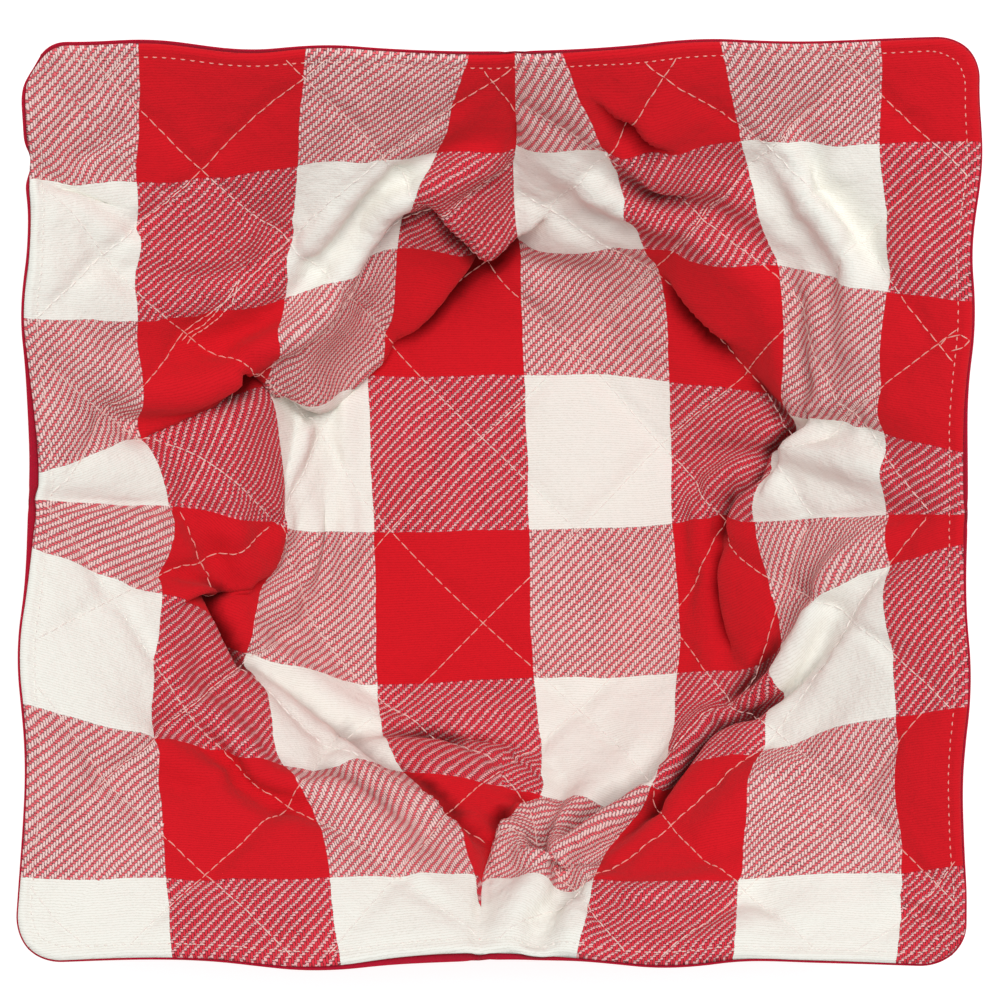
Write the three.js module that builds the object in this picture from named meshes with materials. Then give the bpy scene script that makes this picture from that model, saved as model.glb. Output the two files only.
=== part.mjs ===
// A quilted bowl cozy, standing open on a table as it does under a hot bowl.
// Two square panels make it: a checked flannel one inside and a plain cotton one outside.
// Each is a soft quilted layer. A dart sewn into the middle of each side draws the square up
// into a bowl with four spread corners, and the cloth between the darts and the floor folds.
// Millimetres, +Z up. X runs to the right and Y away from the reader in a plan view.
// The origin is under the middle of the cozy, on the surface that it stands on.

import * as THREE from "three";

// The flat cut and its darts
const CUT_SIDE = 241.3;
const HALF_CUT = CUT_SIDE / 2;
const DART_HALF_WIDTH = 23;
const DART_TIP = 62;
const DART_SOFTNESS = 0.14;
const HALF_SEWN = HALF_CUT - DART_HALF_WIDTH;
const CORNER_RADIUS = 9;
const CORNER_FADE = 4;
const DART_OFFSET = { top: 1.8, bottom: -3.5, left: -3.6, right: -4.3 };
const DART_BEND_START = 30;

// The layers, from the inner face outwards
const PANEL_THICKNESS = 3;
const PANEL_GAP = 0.45;
const TOTAL_THICKNESS = 2 * PANEL_THICKNESS + PANEL_GAP;
const RIM_THINNING = 0.5;
const RIM_BAND = 14;
const RIM_OVERHANG = 0.7;
const QUILT_RISE = 1.8;
const QUILT_SPACING = 28;
const QUILT_CROSSING = { u: -4.2, v: -23.6 };
const SEAM_GROOVE = 1.6;
const SEAM_GROOVE_HALF_WIDTH = 4;
const SEAM_GROOVE_LEAD = 8;

// The floor of the bowl
const FLOOR_RING = 30;
const FLOOR_SHIFT = { x: 0.9, y: -2.9 };
const FLOOR_SINK = 3;
const FLOOR_SINK_HEIGHT = 12;
const FLOOR_SOFTNESS = 3;

// The middle of the part's own box, measured from the point over which the sections were taken
const BOX_MIDDLE = { x: -0.83, y: -0.58 };

// The grid that every face is laid on
const CELLS = 34;
const CELL_GRADING = 0.15;
const NORMAL_STEP = 1.5;
const SEARCH_LIMIT = 1e-7;
const TINY = 1e-9;

// A table's rows as objects, with its columns' names as their keys.
function table(columns, rows) {
  return rows.map((row) => Object.fromEntries(columns.map((column, k) => [column, row[k]])));
}

// Where the inner face passes on 16 sections from the floor to the rim.
// heading: the section's way out, on the sewn square.
// crease, wall and rim: its places x, y and the height z over the inner floor.
const SECTION_RINGS = [62, 82, HALF_SEWN];
const SECTIONS = table(["name", "heading", "crease", "wall", "rim"], [
  ["right", [1, 0], [52.5, -3.5, 14], [73.5, -3.2, 36], [93.2, -3, 55]],
  ["right, upper", [1, 0.5], [58.5, 20.5, 20], [72.5, 31, 42], [94.1, 43.9, 59]],
  ["upper right", [1, 1], [53.2, 49.2, 25], [73, 71.5, 46], [96.3, 92.3, 64]],
  ["top, right", [0.5, 1], [27.8, 54, 22], [37.5, 71.5, 44], [49.1, 91.2, 62]],
  ["top", [0, 1], [4.3, 53.5, 14], [3.2, 73, 38], [3, 88.2, 62]],
  ["top, left", [-0.5, 1], [-21.3, 52.5, 22], [-32.3, 70.8, 44], [-45.9, 88.7, 63]],
  ["upper left", [-1, 1], [-46, 43.6, 25], [-73.4, 67.2, 46], [-94.3, 91, 68]],
  ["left, upper", [-1, 0.5], [-50.3, 24.4, 20], [-75.6, 32, 38], [-94.9, 45.3, 56]],
  ["left", [-1, 0], [-47.2, -5.2, 9], [-74, -1, 29], [-95.2, 2.1, 46]],
  ["left, lower", [-1, -0.5], [-56, -28.5, 18], [-73.7, -34.5, 40], [-95.5, -42.4, 57]],
  ["lower left", [-1, -1], [-49.9, -49.4, 25], [-73, -69.5, 47], [-96.6, -91.7, 66]],
  ["bottom, left", [-0.5, -1], [-27.8, -54, 20], [-33.8, -70.6, 43], [-48.9, -92.2, 62]],
  ["bottom", [0, -1], [-0.6, -57.5, 14], [-3.5, -74, 36], [-4, -90.4, 58]],
  ["bottom, right", [0.5, -1], [28, -59.5, 20], [30, -75.8, 43], [43.7, -92.6, 60]],
  ["lower right", [1, -1], [48, -50.5, 25], [73.6, -74, 46], [92.8, -93.2, 62]],
  ["right, lower", [1, -0.5], [55, -33, 20], [73, -35.4, 42], [92.8, -49.8, 58]],
]);

// The main folds of the inner face, on the cloth with its darts drawn shut.
// at: the middle of the fold. run: its direction in degrees, from +X towards +Y.
// size: half its length and half its width. height: up for a puff, down for a crease.
// gather: how far it draws the cloth in from both sides. lean: how far its crown hangs over.
const FOLDS = table(["name", "at", "run", "size", "height", "gather", "lean"], [
  ["crease above the floor, left", [-16, 45.6], 42, [19, 5.5], -4.5, 1, 0],
  ["puff above the floor, left", [-42, 45.6], 43, [24, 8.5], 7, 3, -1.5],
  ["bulge left of the top dart", [-6.9, 74.5], 62, [15, 8], 7, 3, -3],
  ["hollow below the top edge", [33.2, 103], -30, [15, 6], -3.5, 3, 0],
  ["crease above the floor, right", [48.1, 48.6], -48, [18, 5.5], -5, 5, 0],
  ["puff above the floor, right", [61.6, 61.6], -50, [22, 8.5], 6, 3, -3],
  ["fold by the right dart", [52.1, -19], 90, [12, 5.5], -4, 4, 0],
  ["crease below the floor, right", [57.9, -62.8], 38, [24, 5.5], -4.5, 4, 0],
  ["puff below the floor, right", [65.4, -72.7], 42, [23, 9], 6, 3, 3],
  ["bulge right of the bottom dart", [11.7, -88.5], 105, [15, 8], 5.5, 3, 2],
  ["fold below the floor", [-10.4, -55.1], 4, [16, 5.5], -3.5, 4, 0],
  ["crease below the floor, left", [-43.3, -49.1], -38, [24, 5.5], -4.5, 4, 0],
  ["puff below the floor, left", [-57.1, -69.1], -45, [24, 9], 6, 3, 3],
  ["crease by the left dart", [-74.5, -18.8], 8, [14, 5.5], -5, 5, 0],
  ["puff by the left dart", [-66.5, 9.1], 88, [15, 8.5], 7, 3, -3],
  ["trough above the left dart", [-80.3, 22.7], 22, [16, 5.5], -5, 5, 0],
  ["ridge in the left wall", [-45.4, 77.8], 60, [16, 7], 3.5, 2, 0],
  ["ridge in the right wall", [77.8, 71.9], -56, [21, 7], 4.5, 3, 0],
  ["ridge in the far wall", [86, -17.1], 60, [17, 7], 4, 3, 0],
  ["ridge in the near wall", [40.8, -98.4], 30, [17, 7], 2.5, 2, 0],
]);

const GATHER_REACH = 4;

// How much of the folds each face takes: the wadding evens them out towards the outside.
const FOLD_SHARES = { inner: 1, meeting: 0.8, outer: 0.5 };

const PANEL_FINISHES = {
  inner_panel: { color: "#c9545c", roughness: 0.9, metalness: 0 },
  outer_panel: { color: "#b5122f", roughness: 0.85, metalness: 0 },
};

// A straight rise from 0 that starts at 0 with a soft bend.
function softRamp(t) {
  if (t < -DART_SOFTNESS) return 0;
  if (t > DART_SOFTNESS) return t;
  return (t + DART_SOFTNESS) ** 2 / (4 * DART_SOFTNESS);
}

// Half the width of the dart at a distance from the middle of the flat cut.
function dartHalf(distance) {
  return DART_HALF_WIDTH * softRamp((Math.abs(distance) - DART_TIP) / (HALF_CUT - DART_TIP));
}

// The distance on the flat cut that the darts draw in to this distance on the sewn square.
function flatDistance(sewn) {
  let low = 0;
  let high = HALF_CUT + DART_HALF_WIDTH;
  while (high - low > SEARCH_LIMIT) {
    const middle = (low + high) / 2;
    if (middle - dartHalf(middle) < sewn) low = middle;
    else high = middle;
  }
  return low;
}

// A point of the sewn square, found on the flat cut: every side opens by half its dart.
function cutPlace(p, q) {
  const ring = Math.max(Math.abs(p), Math.abs(q));
  if (ring === 0) return { u: 0, v: 0 };
  const flat = flatDistance(ring);
  const opening = flat - ring;
  const bend = THREE.MathUtils.clamp((flat - DART_BEND_START) / (DART_TIP - DART_BEND_START), 0, 1);
  if (Math.abs(q) >= Math.abs(p)) {
    const offset = (q >= 0 ? DART_OFFSET.top : DART_OFFSET.bottom) * bend * (1 - Math.abs(p) / ring);
    return { u: p + opening * Math.sign(p) + offset, v: flat * Math.sign(q) };
  }
  const offset = (p >= 0 ? DART_OFFSET.right : DART_OFFSET.left) * bend * (1 - Math.abs(q) / ring);
  return { u: flat * Math.sign(p), v: q + opening * Math.sign(q) + offset };
}

// A ring of the flat cut with its four corners rounded, more so towards the rim.
function roundedPlace({ u, v }) {
  const ring = Math.max(Math.abs(u), Math.abs(v));
  const along = Math.min(Math.abs(u), Math.abs(v));
  const radius = CORNER_RADIUS * (ring / HALF_CUT) ** CORNER_FADE;
  const start = ring - radius;
  if (along <= start) return { u, v };
  const angle = ((along - start) / radius) * (Math.PI / 4);
  const far = start + radius * Math.cos(angle);
  const near = start + radius * Math.sin(angle);
  const wide = Math.abs(u) >= Math.abs(v);
  return { u: Math.sign(u) * (wide ? far : near), v: Math.sign(v) * (wide ? near : far) };
}

// A place on the flat cut once the darts are drawn shut: even across each quarter of the cloth.
function closeDarts({ u, v }, p, q) {
  return { a: u - dartHalf(v) * Math.sign(p), b: v - dartHalf(u) * Math.sign(q) };
}

// The bending surface of a thin plate, which is what the sections are joined by.
function plateBend(a, b) {
  const squared = a * a + b * b;
  return (squared * Math.log(squared + TINY)) / 2;
}

// Solves matrix * weights = values for several columns of values by elimination.
function solve(matrix, values) {
  const size = matrix.length;
  for (let column = 0; column < size; column++) {
    let pivot = column;
    for (let row = column + 1; row < size; row++) {
      if (Math.abs(matrix[row][column]) > Math.abs(matrix[pivot][column])) pivot = row;
    }
    [matrix[column], matrix[pivot]] = [matrix[pivot], matrix[column]];
    [values[column], values[pivot]] = [values[pivot], values[column]];
    for (let row = 0; row < size; row++) {
      if (row === column) continue;
      const factor = matrix[row][column] / matrix[column][column];
      for (let k = column; k < size; k++) matrix[row][k] -= factor * matrix[column][k];
      values[row] = values[row].map((value, k) => value - factor * values[column][k]);
    }
  }
  return values.map((row, index) => row.map((value) => value / matrix[index][index]));
}

// The stations: a place on the closed cloth and where the sections take it.
function makeStations() {
  const stations = [{ a: 0, b: 0, target: [FLOOR_SHIFT.x, FLOOR_SHIFT.y, 0] }];
  for (const { heading, crease, wall, rim } of SECTIONS) {
    const [across, up] = heading;
    const floor = { a: across * FLOOR_RING, b: up * FLOOR_RING };
    stations.push({ ...floor, target: [floor.a + FLOOR_SHIFT.x, floor.b + FLOOR_SHIFT.y, 0] });
    [crease, wall, rim].forEach((target, index) => {
      const ring = SECTION_RINGS[index];
      const [p, q] = [across * ring, up * ring];
      stations.push({ ...closeDarts(cutPlace(p, q), p, q), target });
    });
  }
  return stations;
}

// One smooth surface through all the stations, as a function of a place on the closed cloth.
function makePlate(stations) {
  const basis = (a, b) => [...stations.map((s) => plateBend(a - s.a, b - s.b)), 1, a, b];
  const matrix = stations.map((s) => basis(s.a, s.b));
  const count = stations.length;
  for (const term of [() => 1, (s) => s.a, (s) => s.b]) {
    matrix.push([...stations.map(term), 0, 0, 0]);
  }
  const values = stations.map((s) => [s.target[0] - s.a, s.target[1] - s.b, s.target[2]]);
  for (let k = 0; k < 3; k++) values.push([0, 0, 0]);
  const weights = solve(matrix, values);
  return (a, b) => {
    const shift = [0, 0, 0];
    basis(a, b).forEach((term, row) => {
      for (let axis = 0; axis < 3; axis++) shift[axis] += term * weights[row][axis];
    });
    return new THREE.Vector3(a + shift[0], b + shift[1], shift[2]);
  };
}

// Heights near or under the floor are brought to 0 with a soft bend.
function settleOnFloor(height) {
  const sunk = height - FLOOR_SINK * Math.exp(-Math.abs(height) / FLOOR_SINK_HEIGHT);
  const bent = (sunk + Math.hypot(sunk, FLOOR_SOFTNESS)) / 2;
  return bent - (FLOOR_SOFTNESS / 2) * Math.exp(-Math.abs(sunk) / FLOOR_SOFTNESS);
}

// The shift that one fold gives a place on the closed cloth.
function foldShift({ at, run, size, height, gather, lean }, a, b) {
  const angle = THREE.MathUtils.degToRad(run);
  const [halfLength, halfWidth] = size;
  const along = (a - at[0]) * Math.cos(angle) + (b - at[1]) * Math.sin(angle);
  const across = -(a - at[0]) * Math.sin(angle) + (b - at[1]) * Math.cos(angle);
  const fade = Math.exp(-((along / halfLength) ** 2));
  const bump = Math.exp(-((across / halfWidth) ** 2) / 2);
  const reach = Math.exp(-((across / (GATHER_REACH * halfWidth)) ** 2) / 2);
  const pull = (-gather / 2) * Math.tanh(across / halfWidth) * reach;
  const side = (pull + lean * bump) * fade;
  return new THREE.Vector3(-Math.sin(angle) * side, Math.cos(angle) * side, height * bump * fade);
}

// The smooth face with no folds in it, and the way out of the bowl through the cloth there.
function smoothFace(plate, p, q) {
  const at = (x, y) => {
    const { a, b } = closeDarts(roundedPlace(cutPlace(x, y)), x, y);
    const point = plate(a, b);
    point.z = settleOnFloor(point.z);
    return point;
  };
  const alongP = at(p + NORMAL_STEP, q).sub(at(p - NORMAL_STEP, q));
  const alongQ = at(p, q + NORMAL_STEP).sub(at(p, q - NORMAL_STEP));
  return { point: at(p, q), outward: alongQ.cross(alongP).normalize() };
}

// How full the quilting stands: 0 on its stitched lines, 1 between them.
function quiltCrown({ u, v }) {
  const first = (u - QUILT_CROSSING.u + v - QUILT_CROSSING.v) / Math.SQRT2;
  const second = (u - QUILT_CROSSING.u - v + QUILT_CROSSING.v) / Math.SQRT2;
  const wave = (across) => Math.abs(Math.sin((Math.PI * across) / QUILT_SPACING));
  return Math.sqrt(wave(first) * wave(second));
}

// How deep the sewn dart draws the face in, strongest on its seam and none inside its tip.
function seamGroove(p, q) {
  const fromSeam = Math.min(Math.abs(p), Math.abs(q));
  const outwards = Math.max(Math.abs(p), Math.abs(q));
  const lead = SEAM_GROOVE_LEAD;
  const start = THREE.MathUtils.smoothstep(outwards, DART_TIP - lead, DART_TIP + lead);
  return SEAM_GROOVE * start * Math.exp(-((fromSeam / SEAM_GROOVE_HALF_WIDTH) ** 2));
}

// One point through the cozy: its place on all four faces, from the inner one outwards.
// No face reaches below its own level under the floor, so the underside is flat.
function facePoints(plate, p, q) {
  const cut = roundedPlace(cutPlace(p, q));
  const { a, b } = closeDarts(cut, p, q);
  const { point, outward } = smoothFace(plate, p, q);
  const fold = new THREE.Vector3();
  for (const row of FOLDS) fold.add(foldShift(row, a, b));
  const fromRim = HALF_SEWN - Math.max(Math.abs(p), Math.abs(q));
  const atRim = 1 - THREE.MathUtils.smoothstep(fromRim, 0, RIM_BAND);
  const thinning = 1 - RIM_THINNING * atRim;
  const crown = QUILT_RISE * quiltCrown(cut) * (1 - atRim);
  const groove = seamGroove(p, q) * thinning;
  const sideways = new THREE.Vector3(outward.x, outward.y, 0).normalize();
  const face = (foldShare, depth, overhang, level) => {
    const place = point.clone().addScaledVector(fold, foldShare).addScaledVector(outward, depth);
    place.addScaledVector(sideways, overhang * atRim);
    place.z = Math.max(place.z, level);
    return place.add(new THREE.Vector3(-BOX_MIDDLE.x, -BOX_MIDDLE.y, TOTAL_THICKNESS));
  };
  const innerDepth = PANEL_THICKNESS * thinning + groove / 2;
  const meetingDepth = innerDepth + PANEL_GAP;
  const outerDepth = 2 * PANEL_THICKNESS * thinning + PANEL_GAP + crown / 2;
  return {
    innerShown: face(FOLD_SHARES.inner, groove - crown, 0, 0),
    innerBack: face(FOLD_SHARES.meeting, innerDepth, 0, -PANEL_THICKNESS),
    outerBack: face(FOLD_SHARES.meeting, meetingDepth, RIM_OVERHANG, -PANEL_THICKNESS - PANEL_GAP),
    outerShown: face(FOLD_SHARES.outer, outerDepth, RIM_OVERHANG, -TOTAL_THICKNESS),
  };
}

// A grid line's place on the sewn square: finer towards the rim.
function gridLine(index) {
  const share = (2 * index) / CELLS - 1;
  return HALF_SEWN * (share * (1 + CELL_GRADING) - CELL_GRADING * share ** 3);
}

// All the points of the four faces, row by row.
function layGrid(plate) {
  const grid = [];
  for (let row = 0; row <= CELLS; row++) {
    for (let column = 0; column <= CELLS; column++) {
      grid.push(facePoints(plate, gridLine(column), gridLine(row)));
    }
  }
  return grid;
}

// The triangles of one face, facing +Z on a flat grid. A cell is split along the way round the
// bowl, and those that lead to the four corners are split along the way to the corner.
function faceTriangles() {
  const triangles = [];
  const index = (column, row) => row * (CELLS + 1) + column;
  for (let row = 0; row < CELLS; row++) {
    for (let column = 0; column < CELLS; column++) {
      const [a, b] = [index(column, row), index(column + 1, row)];
      const [c, d] = [index(column + 1, row + 1), index(column, row + 1)];
      const leadsToCorner = column === row || column + row === CELLS - 1;
      const splitRises = (column < CELLS / 2 === row < CELLS / 2) === leadsToCorner;
      triangles.push(...(splitRises ? [a, b, c, a, c, d] : [a, b, d, b, c, d]));
    }
  }
  return triangles;
}

// The grid's outline, once round in the sense of the triangles.
function outlineIndices() {
  const last = CELLS;
  const index = (column, row) => row * (CELLS + 1) + column;
  const outline = [];
  for (let k = 0; k < last; k++) outline.push(index(k, 0));
  for (let k = 0; k < last; k++) outline.push(index(last, k));
  for (let k = last; k > 0; k--) outline.push(index(k, last));
  for (let k = last; k > 0; k--) outline.push(index(0, k));
  return outline;
}

// One closed panel between an upper and a lower face of the grid.
function makePanel(name, grid, upper, lower) {
  const count = grid.length;
  const positions = [upper, lower].flatMap((face) => grid.flatMap((point) => point[face].toArray()));
  const top = faceTriangles();
  const triangles = [...top];
  for (let k = 0; k < top.length; k += 3) {
    triangles.push(top[k] + count, top[k + 2] + count, top[k + 1] + count);
  }
  const outline = outlineIndices();
  outline.forEach((here, k) => {
    const next = outline[(k + 1) % outline.length];
    triangles.push(here, here + count, next + count, here, next + count, next);
  });
  const geometry = new THREE.BufferGeometry();
  geometry.setAttribute("position", new THREE.Float32BufferAttribute(positions, 3));
  geometry.setIndex(triangles);
  geometry.computeVertexNormals();
  const mesh = new THREE.Mesh(geometry, new THREE.MeshStandardMaterial(PANEL_FINISHES[name]));
  mesh.name = name;
  return mesh;
}

const grid = layGrid(makePlate(makeStations()));
const cozy = new THREE.Group();
cozy.add(makePanel("inner_panel", grid, "innerShown", "innerBack"));
cozy.add(makePanel("outer_panel", grid, "outerBack", "outerShown"));

export default cozy;
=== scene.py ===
# %% [markdown]
# # A quilted bowl cozy
# A bowl cozy is a pot holder that a hot bowl stands in. Two square quilted panels are laid face to
# face, a dart is sewn into the middle of each side, and the darts draw the square up into a soft
# bowl with four spread corners. This lesson dresses the plain solids of such a cozy: it works out
# how the cloth lies, sews the quilting, and weaves the check as a material.

# %% Load the frame
import math
import bpy
import numpy as np
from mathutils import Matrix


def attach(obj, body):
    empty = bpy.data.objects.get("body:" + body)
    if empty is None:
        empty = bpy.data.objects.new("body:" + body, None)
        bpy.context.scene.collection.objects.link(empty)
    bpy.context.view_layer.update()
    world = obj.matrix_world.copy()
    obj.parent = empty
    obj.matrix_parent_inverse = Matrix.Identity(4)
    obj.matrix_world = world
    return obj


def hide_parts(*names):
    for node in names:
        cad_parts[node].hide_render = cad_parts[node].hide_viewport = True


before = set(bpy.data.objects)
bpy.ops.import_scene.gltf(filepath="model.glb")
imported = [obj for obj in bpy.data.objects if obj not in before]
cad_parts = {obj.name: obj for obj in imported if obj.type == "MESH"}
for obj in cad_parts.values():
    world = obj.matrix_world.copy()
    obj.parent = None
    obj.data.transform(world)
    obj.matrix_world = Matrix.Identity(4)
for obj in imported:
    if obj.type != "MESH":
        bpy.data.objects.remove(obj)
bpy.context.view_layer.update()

# %% [markdown]
# ## The camera
# The cozy is seen from straight above. The picture's width spans 220 mm on the floor of the bowl,
# and squares near the rim look larger than those on the floor, which puts the camera 0.7 m up.
# Sizes are in metres.

# %% Camera over the middle of the view
MM = 0.001
TINY = 1e-9
TINIER = 1e-12
LAYER = 3.0 * MM
LAYER_GAP = 0.45 * MM
DEPTH = 2 * LAYER + LAYER_GAP
BOX_MIDDLE = np.array([-0.83, -0.58]) * MM
CAMERA_HEIGHT = 0.7
VIEW_WIDTH = 0.22
SENSOR = 36.0


def add_object(name, data):
    """A new object at the origin, linked into the scene."""
    made = bpy.data.objects.new(name, data)
    bpy.context.scene.collection.objects.link(made)
    return made


camera_data = bpy.data.cameras.new("camera")
camera_data.sensor_width = SENSOR
camera_data.lens = SENSOR * CAMERA_HEIGHT / VIEW_WIDTH
camera = add_object("camera", camera_data)
camera.location = (-BOX_MIDDLE[0], -BOX_MIDDLE[1], DEPTH + CAMERA_HEIGHT)
bpy.context.scene.camera = camera
print("lens", round(camera_data.lens, 1), "mm")

# %% [markdown]
# ## The cut and its darts
# Each panel is a 241.3 mm square once its seams are turned in. A point of it has two addresses:
# its place (u, v) on the flat cut, which the check and the quilting follow, and its place (p, q) on
# the sewn square, whose sides are shorter by the darts. The darts are wedges, so the sewn square's
# rings are simply the cut's rings with a piece taken out of the middle of each side.

# %% Cut and dart sizes
CUT = 241.3 * MM
HALF_CUT = CUT / 2
DART_HALF = 23.0 * MM
DART_TIP = 62.0 * MM
DART_SOFTNESS = 0.14
HALF_SEWN = HALF_CUT - DART_HALF
CORNER_RADIUS = 9.0 * MM
CORNER_FADE = 4
DART_OFFSET = {"top": 1.8 * MM, "bottom": -3.5 * MM, "left": -3.6 * MM, "right": -4.3 * MM}
DART_LEAN = {"top": 0.0, "bottom": -4.0 * MM, "left": 0.0, "right": 0.0}
LEAN_FADE = 5
DART_BEND_START = 30.0 * MM
RING_SAMPLES = 4001
RINGS_ON_CUT = np.linspace(0, HALF_CUT + DART_HALF, RING_SAMPLES)


def ring_of(u, v):
    """The square ring round the middle that a place lies on: the larger of its two distances."""
    return np.maximum(np.abs(u), np.abs(v))


def dart_half(distance):
    """Half the dart's width: 0 inside its tip, then growing evenly, with a parabola between."""
    t = (np.abs(distance) - DART_TIP) / (HALF_CUT - DART_TIP)
    soft = (t + DART_SOFTNESS) ** 2 / (4 * DART_SOFTNESS)
    return DART_HALF * np.where(t < -DART_SOFTNESS, 0, np.where(t > DART_SOFTNESS, t, soft))


def flat_distance(sewn):
    """A sewn ring's distance on the flat cut, sign kept: the dart's half is put back."""
    rings = RINGS_ON_CUT - dart_half(RINGS_ON_CUT)
    return np.sign(sewn) * np.interp(np.abs(sewn), rings, RINGS_ON_CUT)


def dart_shift(flat, ring, along, positive, sides):
    """How far cloth beside a dart lies off a centred one: its offset, and near the seam its lean."""
    bend = np.clip((flat - DART_BEND_START) / (DART_TIP - DART_BEND_START), 0, 1)
    lean = np.clip((flat - DART_TIP) / (HALF_CUT - DART_TIP), 0, 1)
    near_seam = np.clip(1 - np.abs(along) / ring, 0, 1)
    bend, lean = bend * near_seam, lean * near_seam**LEAN_FADE
    first, second = [DART_OFFSET[side] * bend + DART_LEAN[side] * lean for side in sides]
    return np.where(positive, first, second)


def cut_place(p, q):
    """(u, v) is (p, q) with every side opened by half its dart, the dart's line leaning a little."""
    ring = np.maximum(ring_of(p, q), TINY)
    flat = flat_distance(ring)
    opening = flat - ring
    lengthwise = np.abs(q) >= np.abs(p)
    u = p + opening * np.sign(p) + dart_shift(flat, ring, p, q > 0, ("top", "bottom"))
    v = q + opening * np.sign(q) + dart_shift(flat, ring, q, p > 0, ("right", "left"))
    return np.where(lengthwise, u, flat * np.sign(p)), np.where(lengthwise, flat * np.sign(q), v)


def corner_radius(ring):
    """The radius of a ring's corners: the rim's, times a power of the ring's share of the rim."""
    return CORNER_RADIUS * (ring / HALF_CUT) ** CORNER_FADE + TINY


def rounded_place(u, v):
    """(u, v) with each ring's corners turned into quarter circles that grow towards the rim."""
    ring = ring_of(u, v)
    along = np.minimum(np.abs(u), np.abs(v))
    radius = corner_radius(ring)
    start = ring - radius
    angle = np.clip((along - start) / radius, 0, 1) * math.pi / 4
    far = np.where(along > start, start + radius * np.cos(angle), ring)
    near = np.where(along > start, start + radius * np.sin(angle), along)
    wide = np.abs(u) >= np.abs(v)
    return np.sign(u) * np.where(wide, far, near), np.sign(v) * np.where(wide, near, far)


def flat_place(p, q):
    """A point's place on the real cut, with its rounded corners."""
    return rounded_place(*cut_place(p, q))


def close_darts(u, v, p, q):
    """(a, b) is (u, v) with the darts drawn shut sideways: even across each quarter."""
    return u - dart_half(v) * np.sign(p), v - dart_half(u) * np.sign(q)


def grid_lines(count):
    """Lines on the sewn square that lie evenly on the flat cut."""
    flat = np.linspace(-HALF_CUT, HALF_CUT, count)
    return flat - np.sign(flat) * dart_half(flat)


print("sewn side", round(2 * HALF_SEWN / MM, 1), "mm, cut side", round(CUT / MM, 1), "mm")

# %% [markdown]
# ## Where the cloth passes
# Sixteen sections were measured off the photograph, each from the floor of the bowl over the crease,
# the wall and the rim. A thin-plate spline joins them: of all surfaces through the given places it
# is the one that bends least, as a sheet of springy cloth would.

# %% Sections and the smooth bowl
FLOOR_RING = 30.0
FLOOR_SHIFT = (0.9, -2.9)
SECTION_RINGS = (62.0, 82.0, HALF_SEWN / MM)
SECTION_COLUMNS = ("name", "heading", "crease", "wall", "rim")
SECTIONS = [
    ("right", (1, 0), (52.5, -3.5, 14), (73.5, -3.2, 36), (93.2, -3, 55)),
    ("right, upper", (1, 0.5), (58.5, 20.5, 20), (72.5, 31, 42), (94.1, 43.9, 59)),
    ("upper right", (1, 1), (53.2, 49.2, 25), (73, 71.5, 46), (96.3, 92.3, 64)),
    ("top, right", (0.5, 1), (27.8, 54, 22), (37.5, 71.5, 44), (49.1, 91.2, 62)),
    ("top", (0, 1), (4.3, 53.5, 14), (3.2, 73, 38), (3, 88.2, 62)),
    ("top, left", (-0.5, 1), (-21.3, 52.5, 22), (-32.3, 70.8, 44), (-45.9, 88.7, 63)),
    ("upper left", (-1, 1), (-46, 43.6, 25), (-73.4, 67.2, 46), (-94.3, 91, 68)),
    ("left, upper", (-1, 0.5), (-50.3, 24.4, 20), (-75.6, 32, 38), (-94.9, 45.3, 56)),
    ("left", (-1, 0), (-47.2, -5.2, 9), (-74, -1, 29), (-95.2, 2.1, 46)),
    ("left, lower", (-1, -0.5), (-56, -28.5, 18), (-73.7, -34.5, 40), (-95.5, -42.4, 57)),
    ("lower left", (-1, -1), (-49.9, -49.4, 25), (-73, -69.5, 47), (-96.6, -91.7, 66)),
    ("bottom, left", (-0.5, -1), (-27.8, -54, 20), (-33.8, -70.6, 43), (-48.9, -92.2, 62)),
    ("bottom", (0, -1), (-0.6, -57.5, 14), (-3.5, -74, 36), (-4, -90.4, 58)),
    ("bottom, right", (0.5, -1), (28, -59.5, 20), (30, -75.8, 43), (43.7, -92.6, 60)),
    ("lower right", (1, -1), (48, -50.5, 25), (73.6, -74, 46), (92.8, -93.2, 62)),
    ("right, lower", (1, -0.5), (55, -33, 20), (73, -35.4, 42), (92.8, -49.8, 58)),
]
FLOOR_SINK = 3.0 * MM
FLOOR_SINK_HEIGHT = 12.0 * MM
FLOOR_SOFTNESS = 3.0 * MM


def stations():
    """The places (a, b) of the sections' points on the closed cloth, and where each one goes."""
    places = [(0, 0)]
    targets = [(*FLOOR_SHIFT, 0)]
    for row in SECTIONS:
        section = dict(zip(SECTION_COLUMNS, row))
        across, up = section["heading"]
        floor = (across * FLOOR_RING, up * FLOOR_RING)
        places.append(floor)
        targets.append((floor[0] + FLOOR_SHIFT[0], floor[1] + FLOOR_SHIFT[1], 0))
        for ring, name in zip(SECTION_RINGS, ("crease", "wall", "rim")):
            p, q = across * ring * MM, up * ring * MM
            a, b = close_darts(*cut_place(p, q), p, q)
            places.append((float(a) / MM, float(b) / MM))
            targets.append(section[name])
    return np.array(places, float), np.array(targets, float)


def plate_bend(squared):
    """The bending surface of a thin plate: a distance squared, times the distance's logarithm."""
    return squared * np.log(squared + TINY) / 2


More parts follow.
